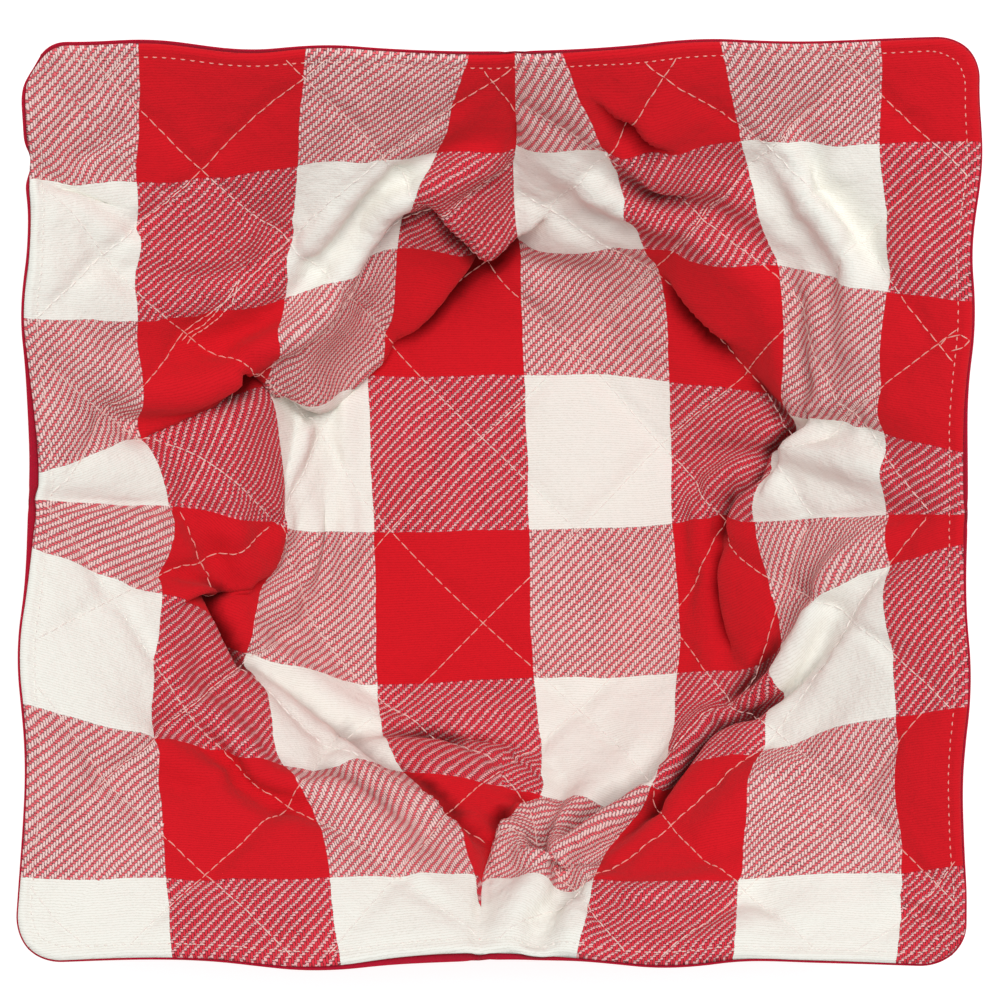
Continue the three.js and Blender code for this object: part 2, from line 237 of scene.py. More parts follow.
def thin_plate(places, targets):
    """The least bent surface through targets: a plane and a bending surface at each place, weighed
    so that they meet every target. Returned as a function of (a, b) in metres."""
    count = len(places)
    squared = ((places[:, None] - places[None]) ** 2).sum(-1)
    matrix = np.zeros((count + 3, count + 3))
    matrix[:count, :count] = plate_bend(squared)
    matrix[:count, count] = 1
    matrix[:count, count + 1:] = places
    matrix[count:, :count] = matrix[:count, count:].T
    values = np.zeros((count + 3, 3))
    values[:count] = targets - np.column_stack([places, np.zeros(count)])
    weights = np.linalg.solve(matrix, values)

    def surface(a, b):
        a, b = a / MM, b / MM
        out = np.stack([a, b, np.zeros_like(a)], -1) + weights[count]
        out += a[..., None] * weights[count + 1] + b[..., None] * weights[count + 2]
        for (place_a, place_b), weight in zip(places, weights[:count]):
            out += plate_bend((a - place_a) ** 2 + (b - place_b) ** 2)[..., None] * weight
        return out * MM

    return surface


def settle_on_floor(height):
    """Heights near or under the floor are brought to 0 with a soft bend."""
    sunk = height - FLOOR_SINK * np.exp(-np.abs(height) / FLOOR_SINK_HEIGHT)
    bent = (sunk + np.hypot(sunk, FLOOR_SOFTNESS)) / 2
    return bent - FLOOR_SOFTNESS / 2 * np.exp(-np.abs(sunk) / FLOOR_SOFTNESS)


PLATE = thin_plate(*stations())


def smooth_bowl(p, q):
    """The inner face with no folds, from its place on the sewn square."""
    place = PLATE(*close_darts(*flat_place(p, q), p, q))
    place[..., 2] = settle_on_floor(place[..., 2])
    return place


print("sections", len(SECTIONS))

# %% [markdown]
# ## The folds
# The wall holds more cloth than it needs, and the spare cloth stands in puffs and sinks in creases.
# Each fold is a soft ridge or trough: a bell across its run, fading out at both ends, that also
# draws the cloth together and may hang over to one side. These are only the starts of the folds.
# The cloth has also been pulled about, so the squares of the check aren't where even folds would
# leave them. Each pull is a soft nudge along the cloth.

# %% Fold table
FOLD_COLUMNS = ("name", "at", "run", "size", "height", "gather", "lean")
FOLDS = [
    ("crease above the floor, left", (-16.5, 47), 48, (17, 3.2), -6, 5, 0),
    ("puff in the upper left of the floor", (-52, 50), 40, (15, 9), 10, 3, -4),
    ("crease below that puff", (-44, 24), 8, (14, 3.2), -5, 4, 0),
    ("bulge left of the top dart", (-14, 80), 50, (15, 7.5), 9, 3, -3),
    ("crease below the bulge", (-6.6, 61), 15, (12, 3), -4.5, 4, 0),
    ("crease right of the top dart", (17, 58), -5, (14, 3.2), -4, 3, 0),
    ("hollow below the top edge", (30, 105), -33, (12, 4), -4, 3, 0),
    ("trough below the hollow", (33, 86.5), -50, (12, 3.5), -2.5, 2, 0),
    ("crease above the floor, right", (48.3, 44), -48, (17, 3.6), -6, 5, 0),
    ("puff above the floor, right", (58, 60), -50, (19, 8.5), 6, 3, -3),
    ("fold above the right dart", (70, 13), 65, (13, 3.4), -5, 4, 0),
    ("fold by the right dart", (56, -20), 88, (13, 3.4), -6, 4, 0),
    ("crease below the floor, right", (57.9, -62.8), 38, (22, 5.5), -3, 3, 0),
    ("puff below the floor, right", (65.4, -72.7), 42, (22, 8.5), 6, 3, 3),
    ("bulge right of the bottom dart", (14, -86), 105, (13, 8.5), 6.5, 3, 2),
    ("fan on that bulge, upper", (24, -76), 5, (12, 2.6), -1.8, 1.5, 0),
    ("fan on that bulge, middle", (20, -88), -20, (13, 2.6), -1.8, 1.5, 0),
    ("fan on that bulge, lower", (14, -97), -42, (12, 2.6), -1.8, 1.5, 0),
    ("fold below the floor", (-10.3, -54.3), 8, (15, 3.2), -5, 4, 0),
    ("fold below the floor, right", (7, -62), -35, (9, 3), -4, 3, 0),
    ("crease below the floor, left", (-43, -54), -38, (22, 5), -4, 4, 0),
    ("puff below the floor, left", (-57, -69), -45, (22, 9), 5, 3, 3),
    ("crease by the left dart", (-74.4, -18.9), 8, (13, 3), -6, 5, 0),
    ("crease below the left dart", (-76, -30), -50, (12, 3.2), -4.5, 4, 0),
    ("puff by the left dart", (-74, 7), 88, (14, 9), 7, 2, -3),
    ("trough above the left dart", (-84, 24.5), 26, (17, 3.6), -6, 5, 0),
    ("puff over the left wall", (-83, 31), 25, (14, 6), 4, 2, -2),
    ("trough above that puff", (-80, 44), 10, (16, 6), -4, 2, 0),
    ("trough in the first corner", (-90, 83), 38, (12, 3.2), -3, 2.5, 0),
    ("trough nearer that corner", (-97, 93), 30, (8, 2.8), -2, 2, 0),
    ("trough below the first corner", (-99.5, 71), -8, (12, 3), -2.5, 2, 0),
    ("ridge in the left wall", (-45.4, 77.8), 60, (14, 6), 3, 2, 0),
    ("ridge in the right wall", (75.9, 70.5), -56, (19, 5), 4.5, 3, 0),
    ("ridge in the far wall", (86, -17.1), 60, (15, 6), 3.5, 3, 0),
    ("ridge in the near wall", (40.8, -98.4), 30, (15, 6), 2.5, 2, 0),
]
GATHER_REACH = 4
PULLS = [
    ("down and out, lower left corner", (-58, -69), (-3.5, -4.0)),
    ("out, above the left dart", (-94, 17), (-3.1, 0.0)),
    ("in, along the right dart", (71, -4), (-3.3, -0.9)),
    ("down, beside the bottom dart", (2, -70), (2.2, -2.6)),
    ("down, rim at the left dart", (-120, 6), (0.7, -3.1)),
    ("in, on the left dart", (-94, -5), (3.5, 0.0)),
    ("down, right of the top dart", (25, 95), (1.1, -2.6)),
    ("up, rim left of the top dart", (-71, 108), (-1.1, 2.6)),
    ("up, upper left puff", (-60, 62), (-1.5, 2.4)),
    ("out, rim above the right dart", (107, 72), (2.6, 1.1)),
    ("up and out, upper right puff", (70, 59), (2.2, 1.8)),
    ("down, floor at the upper right", (38, 29), (-2.0, -2.4)),
    ("down, below the right dart", (71, -33), (0.4, -2.2)),
    ("in, left of the bottom dart", (-25, -70), (-2.2, 1.3)),
    ("down, lower right puff", (68, -66), (1.1, -2.2)),
    ("left, rim right of the bottom dart", (20, -121), (-2.2, 0.0)),
    ("left, bulge by the top dart", (-21, 80), (-4.5, 0.5)),
    ("up, above the crease over the floor", (-24, 58), (-1.2, 3.0)),
]
PULL_REACH = 15.0 * MM


def bell(t):
    """1 at 0, fading to both sides: e to the power of the negative square."""
    return np.exp(-(t**2))


def run_distances(a, b, at, run):
    """Distances along and across a line through at that is turned run degrees, and its crossway."""
    angle = math.radians(run)
    da, db = a - at[0] * MM, b - at[1] * MM
    along = da * math.cos(angle) + db * math.sin(angle)
    across = db * math.cos(angle) - da * math.sin(angle)
    return along, across, np.array([-math.sin(angle), math.cos(angle), 0])


def spot(a, b, centre, reach):
    """1 at the centre, fading as a bell in all directions."""
    return np.exp(-((a - centre[0]) ** 2 + (b - centre[1]) ** 2) / reach**2)


def fold_shift(row, a, b):
    """Up by a bell across the run, sideways by the gather and the lean, fading along the run."""
    fold = dict(zip(FOLD_COLUMNS, row))
    half_length, half_width = np.array(fold["size"]) * MM
    along, across, crossway = run_distances(a, b, fold["at"], fold["run"])
    along, across = along / half_length, across / half_width
    fade = bell(along)
    ridge = np.exp(-across**2 / 2)
    pull = -fold["gather"] / 2 * np.tanh(across) * np.exp(-((across / GATHER_REACH) ** 2) / 2)
    side = (pull + fold["lean"] * ridge) * fade
    return np.stack([crossway[0] * side, crossway[1] * side, fold["height"] * ridge * fade], -1) * MM


def folded_bowl(p, q):
    """The smooth bowl with every fold added, then drawn a few millimetres along by each pull."""
    place = smooth_bowl(p, q)
    a, b = close_darts(*flat_place(p, q), p, q)
    for row in FOLDS:
        place = place + fold_shift(row, a, b)
    for _, centre, shift in PULLS:
        nudge = spot(a, b, np.array(centre) * MM, PULL_REACH)[..., None]
        place[..., :2] += nudge * np.array(shift) * MM
    place[..., 2] = np.maximum(place[..., 2], 0)
    return place


print("folds", len(FOLDS), "pulls", len(PULLS))

# %% [markdown]
# ## Letting the cloth settle
# Cloth bends easily but hardly stretches. So the folded bowl is laid on a grid of points whose
# neighbours want to stay as far apart as they were on the flat cut. In many small steps each pair
# is moved to its cut distance, sharp bends are eased, and a weak pull holds the whole near the
# measured bowl. The spare cloth then buckles by itself into wrinkles between the main folds.

# %% Cloth that keeps its cut lengths
SETTLE_LINES = 121
SETTLE_STEPS = 150
KEEP_SPEED = 0.9
HOLD_LEVEL = 0.05
HOLD_HEIGHT = 0.03
HOLD_CORRECTION = 0.15
CORRECTION_EVERY = 5
DRIFT_ROUNDS = 40
BEND = 0.015
BEND_ROUNDS = 6
STRETCH = 1.0
SHEAR = 0.5
RUFFLE = 0.4 * MM
RUFFLE_ROUNDS = 12
RUFFLE_SEED = 3
INTO_CELL = 1e-4
LEVEL_ONLY = np.array([1, 1, 0])


def cut_length(pa, qa, pb, qb):
    """Distance on the flat cut between two grid points, both read just inside their own cell."""
    middle_p, middle_q = (pa + pb) / 2, (qa + qb) / 2
    first = flat_place(pa + (middle_p - pa) * INTO_CELL, qa + (middle_q - qa) * INTO_CELL)
    second = flat_place(pb + (middle_p - pb) * INTO_CELL, qb + (middle_q - qb) * INTO_CELL)
    return np.hypot(second[0] - first[0], second[1] - first[1])


def rest_lengths(p, q):
    """Cut lengths of the grid's level edges, upright edges and both diagonals."""
    return (
        cut_length(p[:, :-1], q[:, :-1], p[:, 1:], q[:, 1:]),
        cut_length(p[:-1], q[:-1], p[1:], q[1:]),
        cut_length(p[:-1, :-1], q[:-1, :-1], p[1:, 1:], q[1:, 1:]),
        cut_length(p[:-1, 1:], q[:-1, 1:], p[1:, :-1], q[1:, :-1]),
    )


def pull_together(first, second, rest, stiffness):
    """Moves each pair along its line by half of stiffness times what it is too long or too short."""
    line = second - first
    length = np.sqrt((line**2).sum(-1)) + TINIER
    step = line * (0.5 * stiffness * (length - rest) / length)[..., None]
    first += step
    second -= step


def keep_lengths(points, rest):
    """Every other edge at a time, so that no point is moved by two edges at once."""
    level, upright, rising, falling = rest
    for s in (0, 1):
        pull_together(points[:, s:-1:2], points[:, s + 1::2], level[:, s::2], STRETCH)
        pull_together(points[s:-1:2], points[s + 1::2], upright[s::2], STRETCH)
        pull_together(points[s:-1:2, :-1], points[s + 1::2, 1:], rising[s::2], SHEAR)
        pull_together(points[s:-1:2, 1:], points[s + 1::2, :-1], falling[s::2], SHEAR)


def neighbour_sum(points):
    """The sum of the four neighbours less four times the point, inside the rim."""
    out = np.zeros_like(points)
    out[1:-1, 1:-1] = points[1:-1, :-2] + points[1:-1, 2:] + points[:-2, 1:-1] + points[2:, 1:-1]
    out[1:-1, 1:-1] -= 4 * points[1:-1, 1:-1]
    return out


def evened(points, rounds):
    """Each point made the mean of itself and its four neighbours, again and again, the rim kept."""
    points = points.copy()
    for _ in range(rounds):
        points += neighbour_sum(points) / 5
    return points


def soft_noise(count, rounds, seed):
    """Seeded random heights, smoothed by averaging with their neighbours, of spread 1."""
    heights = evened(np.random.default_rng(seed).normal(size=(count, count)), rounds)
    return heights / heights[1:-1, 1:-1].std()


def settle(target, rest):
    """Steps the cloth from the folded bowl towards the lengths of the cut."""
    count = len(target)
    rim = np.zeros((count, count), bool)
    rim[[0, -1]] = True
    rim[:, [0, -1]] = True
    points = target.copy()
    points[..., 2] += RUFFLE * soft_noise(count, RUFFLE_ROUNDS, RUFFLE_SEED) * ~rim
    before = points.copy()
    anchor = target.copy()
    for step in range(SETTLE_STEPS):
        speed = (points - before) * KEEP_SPEED
        before = points.copy()
        points = points + speed
        points += (anchor - points) * (HOLD_LEVEL, HOLD_LEVEL, HOLD_HEIGHT)
        for _ in range(BEND_ROUNDS):
            points -= BEND * neighbour_sum(neighbour_sum(points))
        keep_lengths(points, rest)
        points[..., 2] = np.maximum(points[..., 2], 0)
        points[rim] = target[rim]
        if step % CORRECTION_EVERY == CORRECTION_EVERY - 1:
            drift = evened((target - points) * LEVEL_ONLY, DRIFT_ROUNDS)
            anchor += HOLD_CORRECTION * drift
    return points


settle_p, settle_q = np.meshgrid(grid_lines(SETTLE_LINES), grid_lines(SETTLE_LINES))
settled = settle(folded_bowl(settle_p, settle_q), rest_lengths(settle_p, settle_q))
highest_point = round(settled[..., 2].max() / MM, 1)
print("cloth settled on", SETTLE_LINES, "lines a side, highest point", highest_point, "mm")

# %% [markdown]
# ## From the settled cloth to two quilted panels
# The settled grid is carried to a finer one by cubic curves. The finer grid has extra lines along
# the rim, where the cloth rolls over a turned edge. Two places where the cloth lies smooth are
# pressed a little.

# %% Fine grid
FINE_STEP = 1.17 * MM
ROLL = 2.0 * MM
ROLL_LINES = (0.35, 0.6, 0.8, 0.93, 1.0)
PRESSED = [("left of the floor, below the puff", (-47, 9), 14), ("floor", (0, 0), 36)]
PRESSED_ROUNDS = 40


def fine_lines():
    """Signed flat distances of the fine grid's lines: even, then crowded in the rolled edge."""
    inner = HALF_CUT - ROLL
    count = round(inner / FINE_STEP)
    half = np.concatenate([np.arange(1, count + 1) * inner / count, inner + ROLL * np.array(ROLL_LINES)])
    return np.concatenate([-half[::-1], [0], half])


def carried(grid, at):
    """The grid read at fractional line numbers in both directions, on Catmull-Rom curves."""
    last = len(grid) - 1
    start = np.clip(np.floor(at).astype(int), 0, last - 1)
    t = at - start
    shares = (
        (-(t**3) + 2 * t**2 - t) / 2,
        (3 * t**3 - 5 * t**2 + 2) / 2,
        (-3 * t**3 + 4 * t**2 + t) / 2,
        (t**3 - t**2) / 2,
    )
    lines = [np.clip(start + k, 0, last) for k in (-1, 0, 1, 2)]
    rows = sum(share[:, None, None] * grid[line] for share, line in zip(shares, lines))
    return sum(share[None, :, None] * rows[:, line] for share, line in zip(shares, lines))


flat_lines = fine_lines()
sewn_lines = flat_lines - np.sign(flat_lines) * dart_half(flat_lines)
line_numbers = (flat_lines + HALF_CUT) / CUT * (SETTLE_LINES - 1)
P, Q = np.meshgrid(sewn_lines, sewn_lines)
U, V = flat_place(P, Q)
closed_a, closed_b = close_darts(U, V, P, Q)
shown = carried(settled, line_numbers)
for _, centre, reach in PRESSED:
    share = spot(closed_a, closed_b, np.array(centre) * MM, reach * MM)[..., None]
    shown += (evened(shown, PRESSED_ROUNDS) - shown) * share
print("fine grid", len(flat_lines), "lines a side")

# %% [markdown]
# ## Lips of the folds
# Where two folds press together, one hangs over the other and leaves a dark slit. Cloth on a grid
# can't settle into such a tight turn, so each lip is added one by one: the cloth on one side of a line
# is raised and slid over the cloth on the other.

# %% Lips
LIP_COLUMNS = ("name", "at", "run", "half_length", "height", "hang")
LIPS = [
    ("puff over the floor, upper left", (-16.4, 50.2), 54, 17, 6.5, 1.2),
    ("bulge by the top dart, left of its tip", (-12.0, 70.5), -45, 10, 4.5, 1.2),
    ("bulge by the top dart, right of its tip", (0.5, 68.8), 24, 9, 4.5, 1.2),
    ("puff over the left wall", (-84, 20), 29, 12, 4, 2),
    ("end of that puff", (-73, 30), 86, 7, 3, 1),
    ("upper left puff, left end", (-64, 32), -37, 7, 4, 2),
    ("upper left puff, lower edge", (-50, 26), -13, 11, 4, 2),
    ("upper left puff, right end", (-32, 30), 42, 10, 4, 2),
    ("trough below that puff", (-41, 22), -157, 13, 2, 0.5),
    ("trough by the left dart", (-56, 12), -116, 13, 2, 0.5),
    ("puff over the floor, upper right", (48, 49), -36, 10, 3, 1),
    ("fold above the right dart", (77, 15), -109, 13, 3, 1.5),
    ("slit by the left dart", (-76, -23.5), 27, 12, 7, 1.5),
    ("small slit beside it", (-66, -24), 32, 3, 3, 1),
    ("fold over the floor, bottom", (-6, -52), -14, 9, 3.5, 1.5),
    ("end of that fold", (2, -60), -55, 6, 2.5, 1),
    ("bulge by the bottom dart, top", (3, -73), -145, 6, 3, 1.5),
    ("bulge by the bottom dart, side", (-3, -88), -105, 10, 3, 1.5),
    ("cloth left of the bottom dart", (-16, -86), 128, 9, 2, 1),
    ("puff over the floor, lower right", (53, -58), -140, 17, 1, 0),
    ("slit below the top edge", (29, 104), -34, 11, 5, 1),
    ("ridge in the upper right wall", (83, 70), 131, 18, 2, 0.5),
    ("trough in the first corner", (-90, 83), -140, 10, 1.5, 0.5),
    ("trough below the first corner", (-98, 71), -170, 11, 1.5, 0.5),
    ("crease by the right dart", (56, -20), -100, 9, 3, 1),
]
LIP_EDGE = 0.9 * MM
LIP_REACH = 6.0 * MM
LIP_HANG_REACH = 3.0 * MM
LIP_GATHER = 0.9 * MM
LIP_ABOVE = 0.65
LIP_END = 4
SLIT_DEPTH = 0.35
SLIT_WIDTH = 1.1 * MM


def lip_shift(row, a, b, up):
    """Along up by a step of its height with a slit at its foot, and down the step by its hang."""
    lip = dict(zip(LIP_COLUMNS, row))
    along, across, crossway = run_distances(a, b, lip["at"], lip["run"])
    along = along / (lip["half_length"] * MM)
    step = np.tanh(across / LIP_EDGE)
    fade = np.exp(-along**LIP_END) * bell(across / LIP_REACH)
    slit = SLIT_DEPTH * bell(across / SLIT_WIDTH)
    rise = lip["height"] * MM * ((step + 1) / 2 - (1 - LIP_ABOVE) - slit) * fade
    hang = lip["hang"] * MM * (step + 1) / 2 * bell(across / LIP_HANG_REACH)
    side = -(hang + LIP_GATHER * step) * fade
    way = crossway - up * (up @ crossway)[..., None]
    return up * rise[..., None] + way * side[..., None]


print("lips", len(LIPS))

# %% [markdown]
# ## Quilting, seams and layers
# The quilting lifts the cloth between its stitched lines, and the seams of the darts and the
# topstitch pull it in. The faces of the two layers lie at their depths under it, and the deeper
# ones follow the folds less. Near the rim the layers are thinner and roll over the turned edge.

# %% Layers through the cozy
RIM_BAND = 14.0 * MM
RIM_THINNING = 0.5
SMOOTHING_ROUNDS = 60
LIP_SMOOTHING_ROUNDS = 15
LIP_SHARE = 0.8
MEETING_SHARE = 0.8
OUTER_SHARE = 0.5
QUILT_SPACING = 28.0 * MM
QUILT_CROSSING = np.array([-4.2, -23.6]) * MM
QUILT_DOME = 0.9 * MM
QUILT_GROOVE = 0.7 * MM
QUILT_GROOVE_WIDTH = 2.0 * MM
QUILT_GROOVES_CROSSED = 1.2
SEAM_GROOVE = 1.3 * MM
SEAM_GROOVE_WIDTH = 2.2 * MM
SEAM_LEAD = 8.0 * MM
SEAM_OUTSIDE = 0.8
RUMPLE = 0.22 * MM
RUMPLE_ROUNDS = 30
RUMPLE_SEED = 8
PUCKER = 0.16 * MM
PUCKER_ROUNDS = 3
PUCKER_SEED = 5
PUCKER_REACH = 4.5 * MM
TOPSTITCH_IN = 2.3 * MM
TOPSTITCH_GROOVE = 0.45 * MM
TOPSTITCH_WIDTH = 0.9 * MM
ROLL_ROUNDNESS = 0.999
ROLL_INSIDE = 0.9
ROLL_OUTSIDE = 0.8
OVERHANG = 0.12 * MM
EDGE_COLUMNS = ("name", "heading", "reach", "extra")
EDGE_SHOWS = [
    ("left", (-1, 0.05), 22.0, 1.5),
    ("bottom", (-0.1, -1), 22.0, 1.1),
    ("right", (1, 0.1), 18.0, 0.5),
    ("first corner", (-0.9, 1), 30.0, 0.35),
]


def smoothstep(value, low, high):
    """0 below low and 1 above high, with level ends: three squares of the share less two cubes."""
    t = np.clip((value - low) / (high - low), 0, 1)
    return t * t * (3 - 2 * t)


def unit(vectors):
    """The vectors at a length of 1."""
    return vectors / (np.linalg.norm(vectors, axis=-1, keepdims=True) + TINIER)


def outward_normals(points):
    """Unit normals of a grid of points, out of the bowl through the cloth."""
    return unit(np.cross(np.gradient(points, axis=0), np.gradient(points, axis=1)))


def quilt_distances(u, v):
    """Distances to the nearest line of each diagonal family of the quilting."""
    out = []
    for sign in (1, -1):
        across = ((u - QUILT_CROSSING[0]) + sign * (v - QUILT_CROSSING[1])) / math.sqrt(2)
        out.append(np.abs((across / QUILT_SPACING + 0.5) % 1 - 0.5) * QUILT_SPACING)
    return out


def quilt_rise(u, v):
    """A dome between the lines, less a narrow groove along each of them."""
    first, second = quilt_distances(u, v)
    dome = np.sqrt(np.sin(math.pi * first / QUILT_SPACING) * np.sin(math.pi * second / QUILT_SPACING))
    grooves = bell(first / QUILT_GROOVE_WIDTH) + bell(second / QUILT_GROOVE_WIDTH)
    return QUILT_DOME * dome - QUILT_GROOVE * np.minimum(grooves, QUILT_GROOVES_CROSSED)


from_rim = HALF_CUT - ring_of(flat_lines[None, :], flat_lines[:, None])
from_seam = np.minimum(np.abs(P), np.abs(Q))
out_along_seam = ring_of(P, Q)
at_rim = 1 - smoothstep(from_rim, 0, RIM_BAND)
thinning = 1 - RIM_THINNING * at_rim
seam = bell(from_seam / SEAM_GROOVE_WIDTH)
seam *= smoothstep(out_along_seam, DART_TIP - SEAM_LEAD, DART_TIP + SEAM_LEAD) * SEAM_GROOVE * thinning
topstitch = TOPSTITCH_GROOVE * bell((from_rim - TOPSTITCH_IN) / TOPSTITCH_WIDTH)
roll = np.clip(1 - from_rim / ROLL, 0, 1)
rolled = 1 - np.sqrt(1 - roll**2 * ROLL_ROUNDNESS)
even_bowl = evened(shown, SMOOTHING_ROUNDS)
even_normals = outward_normals(even_bowl)
normals = outward_normals(shown)
quilting = quilt_rise(U, V) * (1 - at_rim)
near_line = bell(np.minimum(*quilt_distances(U, V)) / PUCKER_REACH)
puckers = PUCKER * soft_noise(len(flat_lines), PUCKER_ROUNDS, PUCKER_SEED) * near_line
rumple = RUMPLE * soft_noise(len(flat_lines), RUMPLE_ROUNDS, RUMPLE_SEED)
quilting += (puckers + rumple) * smoothstep(from_rim, ROLL, RIM_BAND)
lips = sum(lip_shift(row, closed_a, closed_b, -even_normals) for row in LIPS)
lips *= smoothstep(from_rim, 0, RIM_BAND)[..., None]
soft_lips = evened(lips, LIP_SMOOTHING_ROUNDS) * LIP_SHARE


def layer(share, depth):
    """The settled cloth and its evened copy mixed by share, then moved out by depth."""
    points = even_bowl + (shown + soft_lips - even_bowl) * share
    return points + even_normals * depth[..., None]


def standing(points, lowest):
    """The points kept above their own level under the floor, in the frame of the solids."""
    points = points.copy()
    points[..., 2] = np.maximum(points[..., 2], lowest)
    return points + np.array([-BOX_MIDDLE[0], -BOX_MIDDLE[1], DEPTH])


panel_depth = LAYER * thinning
sideways = unit(even_normals * LEVEL_ONLY)
edge_shows = np.full_like(P, OVERHANG)
for row in EDGE_SHOWS:
    edge = dict(zip(EDGE_COLUMNS, row))
    edge_shows += edge["extra"] * MM * spot(P, Q, np.array(edge["heading"]) * HALF_SEWN, edge["reach"] * MM)
hang = (edge_shows * smoothstep(at_rim, 0, 1))[..., None] * sideways
face_depth = seam + topstitch - quilting + rolled * panel_depth * ROLL_INSIDE
inner_face = shown + lips + normals * face_depth[..., None]
inner_back = layer(MEETING_SHARE, panel_depth + seam / 2)
outer_back = layer(MEETING_SHARE, panel_depth + seam / 2 + LAYER_GAP) + hang
outer_depth = 2 * panel_depth + LAYER_GAP - seam * SEAM_OUTSIDE
outer_depth -= rolled * panel_depth * ROLL_OUTSIDE + topstitch / 2
outer_face = layer(OUTER_SHARE, outer_depth) + hang
inner_face = standing(inner_face, -QUILT_GROOVE)
inner_back = standing(inner_back, -LAYER)
outer_back = standing(outer_back, -LAYER - LAYER_GAP)
outer_face = standing(outer_face, -DEPTH)
print("inner face reaches", round(inner_face[..., 2].max() / MM, 1), "mm up")

# %% [markdown]
# ## Meshes
# A panel is two grids of points joined round their outline, so it is closed. Its UV map holds the
# place on the flat cut in metres, turned to the grain of the check. Each face reads its own corners
# just inside its cell, so the check breaks off cleanly at a dart and goes on across it elsewhere.

# %% Panel meshes
SQUARE = 33.0 * MM
CHECK_CENTRE = np.array([3.855, 3.89])
CHECK_TURN = 0.0246
CORNER_INSET = 1e-3
GRAIN = "grain"
BODY = "root"


def grain(u, v):
    """Place along the weft and up the warp, from the first column's left and first row's top."""
    across = CHECK_CENTRE[0] * SQUARE + u + CHECK_TURN * v
    down = CHECK_CENTRE[1] * SQUARE - v + CHECK_TURN * u
    return np.stack([across, -down], -1)


def cell_corners():
    """The grain at the four corners of every cell."""
    low_p, low_q = np.meshgrid(sewn_lines[:-1], sewn_lines[:-1])
    high_p, high_q = np.meshgrid(sewn_lines[1:], sewn_lines[1:])
    middle_p, middle_q = (low_p + high_p) / 2, (low_q + high_q) / 2
    corners = []
    for p, q in ((low_p, low_q), (high_p, low_q), (high_p, high_q), (low_p, high_q)):
        inside_p, inside_q = p + (middle_p - p) * CORNER_INSET, q + (middle_q - q) * CORNER_INSET
        corners.append(grain(*flat_place(inside_p, inside_q)))
    return np.stack(corners, 2).reshape(-1, 4, 2)


def panel(name, upper, lower):
    """A closed mesh between two grids of points, with the grain as its UV map."""
    count = len(upper)
    numbers = np.arange(count * count).reshape(count, count)
    cells = np.stack([numbers[:-1, :-1], numbers[:-1, 1:], numbers[1:, 1:], numbers[1:, :-1]], -1)
    cells = cells.reshape(-1, 4)
    outline = np.concatenate([numbers[0, :-1], numbers[:-1, -1], numbers[-1, :0:-1], numbers[:0:-1, 0]])
    following = np.roll(outline, -1)
    under = count * count
    rim = np.stack([outline, outline + under, following + under, following], -1)
    faces = np.concatenate([cells, cells[:, ::-1] + under, rim])
    corners = cell_corners()
    flat = grain(U, V).reshape(-1, 2)
    rim_corners = np.stack([flat[outline], flat[outline], flat[following], flat[following]], 1)
    uv = np.concatenate([corners, corners[:, ::-1], rim_corners]).reshape(-1)
    points = np.concatenate([upper.reshape(-1, 3), lower.reshape(-1, 3)])
    return mesh_object(name, points, faces, uv)


def mesh_object(name, points, faces, uv=None):
    """A smooth-shaded object at the origin from arrays of points and quads."""
    mesh = bpy.data.meshes.new(name)
    mesh.vertices.add(len(points))
    mesh.vertices.foreach_set("co", points.astype(np.float32).ravel())
    mesh.loops.add(faces.size)
    mesh.loops.foreach_set("vertex_index", faces.astype(np.int32).ravel())
    mesh.polygons.add(len(faces))
    mesh.polygons.foreach_set("loop_start", np.arange(0, faces.size, 4, dtype=np.int32))
    mesh.update(calc_edges=True)
    mesh.polygons.foreach_set("use_smooth", np.ones(len(faces), bool))
    if uv is not None:
        mesh.uv_layers.new(name=GRAIN).data.foreach_set("uv", uv.astype(np.float32))
    return add_object(name, mesh)


def point_attribute(made, name, values):
    """Gives an object's points one value each, which its material can read."""
    made.data.attributes.new(name, "FLOAT", "POINT").data.foreach_set("value", values)


inner = panel("inner_panel_cloth", inner_face, inner_back)
outer = panel("outer_panel_cloth", outer_back, outer_face)
for piece, node in ((inner, "inner_panel"), (outer, "outer_panel")):
    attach(piece, BODY)
    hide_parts(node)
print("faces", len(inner.data.polygons), len(outer.data.polygons))

# %% [markdown]
# ## Painted shade under the folds
# Under a fold that hangs over, the cloth lies in shade. A grid of points is too coarse for that gap to
# shade itself, so each point is told how far the cloth beside it stands above it, and the material
# paints shade there.

# %% Painted shade under the folds
CREASE_SHADE_CELL = 0.75 * MM
CREASE_SHADE_CELLS = 2
CREASE_SHADE_FREE = 5.5 * MM
CREASE_SHADE_FULL = 4.0 * MM
CREASE_SHADE_ROUNDS = 1


def painted_crease_shade_of(points):
    """Painted shade for each point, from 0 to 1: the height of the highest cloth close beside it, less a
    steep slope's.
    """
    cells = np.round(points[..., :2] / CREASE_SHADE_CELL).astype(int)
    cells -= cells.min((0, 1)) - CREASE_SHADE_CELLS
    column, row = cells[..., 0], cells[..., 1]
    highest = np.zeros((column.max() + CREASE_SHADE_CELLS + 1, row.max() + CREASE_SHADE_CELLS + 1))
    np.maximum.at(highest, (column, row), points[..., 2])
    steps = range(-CREASE_SHADE_CELLS, CREASE_SHADE_CELLS + 1)
    disc = [(i, j) for i in steps for j in steps if i * i + j * j <= CREASE_SHADE_CELLS**2]
    beside = np.maximum.reduce([np.roll(highest, step, (0, 1)) for step in disc])
    above = beside[column, row] - points[..., 2]
    return evened(np.clip((above - CREASE_SHADE_FREE) / CREASE_SHADE_FULL, 0, 1), CREASE_SHADE_ROUNDS)


painted_crease_shade = painted_crease_shade_of(inner_face)
point_attribute(inner, "painted_crease_shade", np.concatenate([painted_crease_shade.ravel(), np.zeros(painted_crease_shade.size)]))
